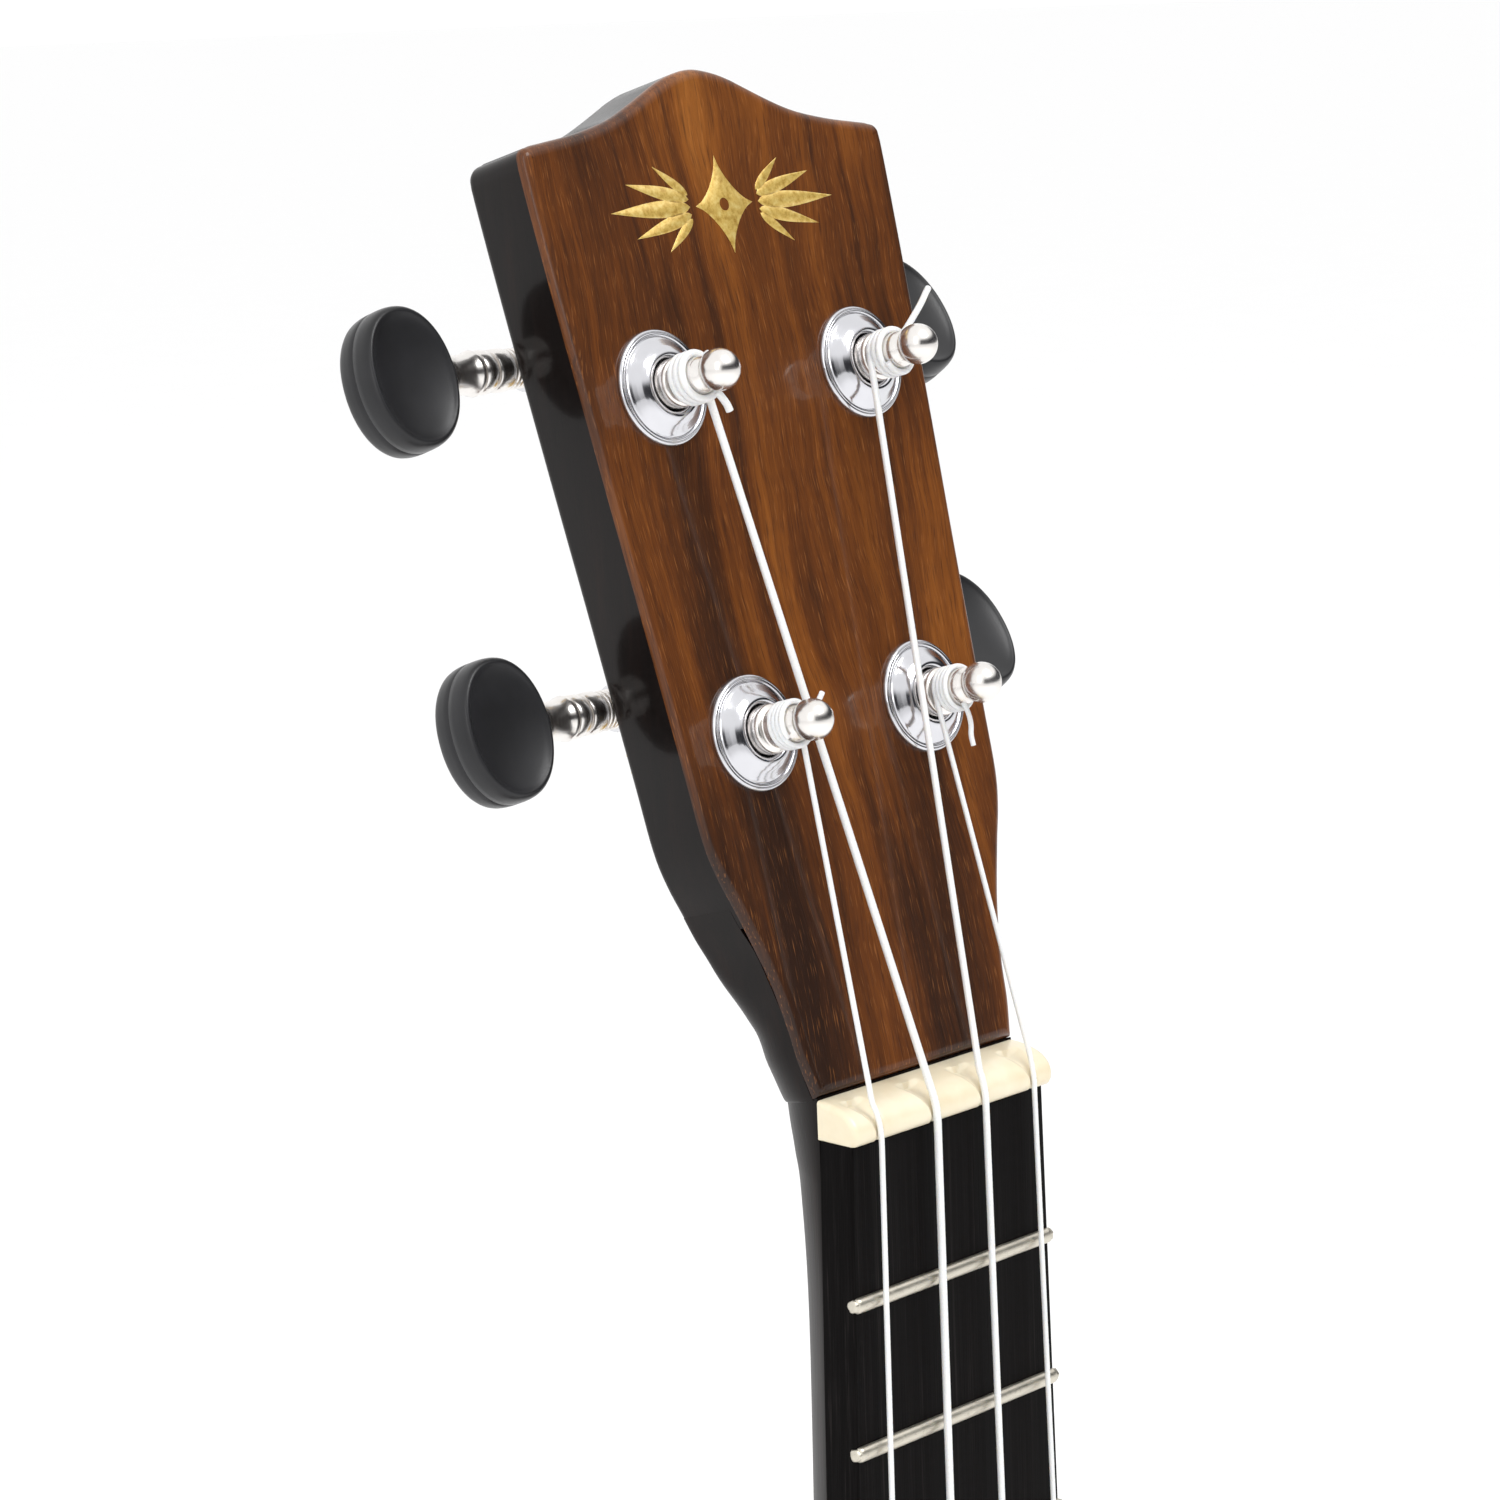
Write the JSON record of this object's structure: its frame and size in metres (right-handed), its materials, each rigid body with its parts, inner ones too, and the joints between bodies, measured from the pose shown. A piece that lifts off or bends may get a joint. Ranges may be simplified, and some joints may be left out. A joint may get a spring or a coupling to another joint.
{
  "type": "ukulele",
  "caption": "Soprano ukulele with a hollow wooden body, fretted neck, tilted headstock, geared tuning machines with black buttons, and nylon strings from bridge to posts.",
  "frame": {"origin": "the hanger seat: mid thickness of the headstock's root on the centre line, 14 mm above the front edge of the nut, where a hanger's two arms hold the neck", "axes": "+Z along the neck towards the headstock tip, strings face -Y, +X to the treble side as seen from the front"},
  "size_m": [0.172, 0.0712, 0.5371],
  "materials": {
    "top_wood": "satin lacquer over straight brown grain",
    "side_wood": "gloss lacquer",
    "inner_wood": "bare sanded wood",
    "neck_wood": "dark stained gloss lacquer",
    "face_veneer": "gloss lacquer over walnut brown grain with dark streaks",
    "fingerboard_wood": "dry near-black fine grain",
    "bridge_wood": "satin dark wood",
    "rosette_inlay": "lacquered inlay rings",
    "bone": "polished cream",
    "fret_metal": "polished nickel silver",
    "dot_inlay": "pearl",
    "machine_steel": "plated steel",
    "bushing_chrome": "mirror chrome",
    "machine_nickel": "polished nickel",
    "gear_brass": "machined",
    "screw_metal": "plated",
    "button_plastic": "satin black",
    "string_nylon": "white nylon"
  },
  "bodies": {
    "ukulele_body": {"top_plate": "top_wood", "back_plate": "side_wood", "rib_bass": "side_wood", "rib_treble": "side_wood", "neck_block": "inner_wood", "tail_block": "inner_wood", "top_linings": "inner_wood", "back_linings": "inner_wood", "top_braces": "inner_wood", "back_braces": "inner_wood", "bridge_plate": "inner_wood", "rosette": "rosette_inlay", "bridge": "bridge_wood", "saddle": "bone", "neck": "neck_wood", "neck_dowels": "inner_wood", "heel_cap": "bridge_wood", "headstock": "neck_wood", "head_veneer": "face_veneer", "fretboard": "fingerboard_wood", "frets": "fret_metal", "position_dots": "dot_inlay", "nut": "bone", "tuner_screws": "screw_metal", "string_g": "string_nylon", "tuner_plate_g": "machine_steel", "bushing_g": "bushing_chrome", "string_c": "string_nylon", "tuner_plate_c": "machine_steel", "bushing_c": "bushing_chrome", "string_e": "string_nylon", "tuner_plate_e": "machine_steel", "bushing_e": "bushing_chrome", "string_a": "string_nylon", "tuner_plate_a": "machine_steel", "bushing_a": "bushing_chrome"},
    "button_shaft_g": {"worm_g": "machine_nickel", "button_g": "button_plastic"},
    "string_post_g": {"post_g": "machine_nickel", "pinion_g": "gear_brass", "pinion_screw_g": "screw_metal", "winding_g": "string_nylon"},
    "button_shaft_c": {"worm_c": "machine_nickel", "button_c": "button_plastic"},
    "string_post_c": {"post_c": "machine_nickel", "pinion_c": "gear_brass", "pinion_screw_c": "screw_metal", "winding_c": "string_nylon"},
    "button_shaft_e": {"worm_e": "machine_nickel", "button_e": "button_plastic"},
    "string_post_e": {"post_e": "machine_nickel", "pinion_e": "gear_brass", "pinion_screw_e": "screw_metal", "winding_e": "string_nylon"},
    "button_shaft_a": {"worm_a": "machine_nickel", "button_a": "button_plastic"},
    "string_post_a": {"post_a": "machine_nickel", "pinion_a": "gear_brass", "pinion_screw_a": "screw_metal", "winding_a": "string_nylon"}
  },
  "joints": [
    {"name": "button_turn_g", "type": "hinge", "parent": "ukulele_body", "child": "button_shaft_g", "pos_m": [-0.0151, 0.02002, 0.03584], "axis": [1, 0, 0], "continuous": true},
    {"name": "post_turn_g", "type": "hinge", "parent": "ukulele_body", "child": "string_post_g", "pos_m": [-0.0151, 0.01834, 0.02946], "axis": [0, -0.9668, 0.2554], "continuous": true},
    {"name": "button_turn_c", "type": "hinge", "parent": "ukulele_body", "child": "button_shaft_c", "pos_m": [-0.0174, 0.03072, 0.07635], "axis": [1, 0, 0], "continuous": true},
    {"name": "post_turn_c", "type": "hinge", "parent": "ukulele_body", "child": "string_post_c", "pos_m": [-0.0174, 0.02904, 0.06997], "axis": [0, -0.9668, 0.2554], "continuous": true},
    {"name": "button_turn_e", "type": "hinge", "parent": "ukulele_body", "child": "button_shaft_e", "pos_m": [0.0174, 0.03072, 0.07635], "axis": [1, 0, 0], "continuous": true},
    {"name": "post_turn_e", "type": "hinge", "parent": "ukulele_body", "child": "string_post_e", "pos_m": [0.0174, 0.02904, 0.06997], "axis": [0, -0.9668, 0.2554], "continuous": true},
    {"name": "button_turn_a", "type": "hinge", "parent": "ukulele_body", "child": "button_shaft_a", "pos_m": [0.0151, 0.02002, 0.03584], "axis": [1, 0, 0], "continuous": true},
    {"name": "post_turn_a", "type": "hinge", "parent": "ukulele_body", "child": "string_post_a", "pos_m": [0.0151, 0.01834, 0.02946], "axis": [0, -0.9668, 0.2554], "continuous": true}
  ],
  "couplings": [
    {"joint": "post_turn_g", "follows": "button_turn_g", "ratio": -0.083333},
    {"joint": "post_turn_c", "follows": "button_turn_c", "ratio": -0.083333},
    {"joint": "post_turn_e", "follows": "button_turn_e", "ratio": 0.083333},
    {"joint": "post_turn_a", "follows": "button_turn_a", "ratio": 0.083333}
  ]
}
